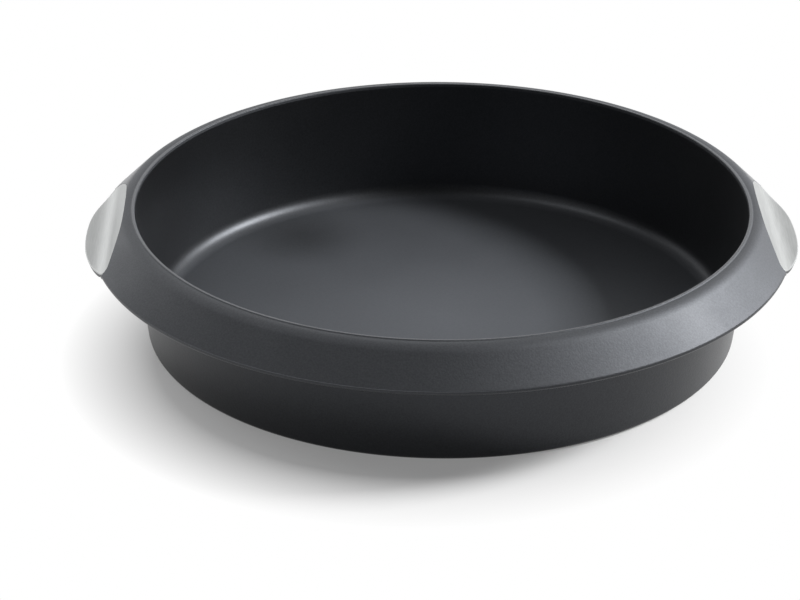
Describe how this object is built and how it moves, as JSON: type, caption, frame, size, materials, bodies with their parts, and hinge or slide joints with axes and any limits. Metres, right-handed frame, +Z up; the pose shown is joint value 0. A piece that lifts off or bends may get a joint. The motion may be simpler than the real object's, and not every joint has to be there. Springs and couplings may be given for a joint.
{
  "type": "cake pan",
  "caption": "Round flat-bottomed silicone cake pan with a drafted wall, a flared conical skirt round the rim and steel thumb plates inlaid at opposite ends for lifting it.",
  "frame": {"origin": "centre of the flat underside, on the table", "axes": "+Z up out of the mouth, X through the two thumb plates, Y across the handles"},
  "size_m": [0.3026, 0.2964, 0.056],
  "materials": {
    "silicone": "charcoal silicone, satin",
    "steel": "satin stainless sheet",
    "wire": "drawn stainless wire"
  },
  "bodies": {
    "root": {"pan_body": "silicone", "rim_hoop": "wire", "left_handle_plate": "steel", "right_handle_plate": "steel"}
  },
  "joints": []
}
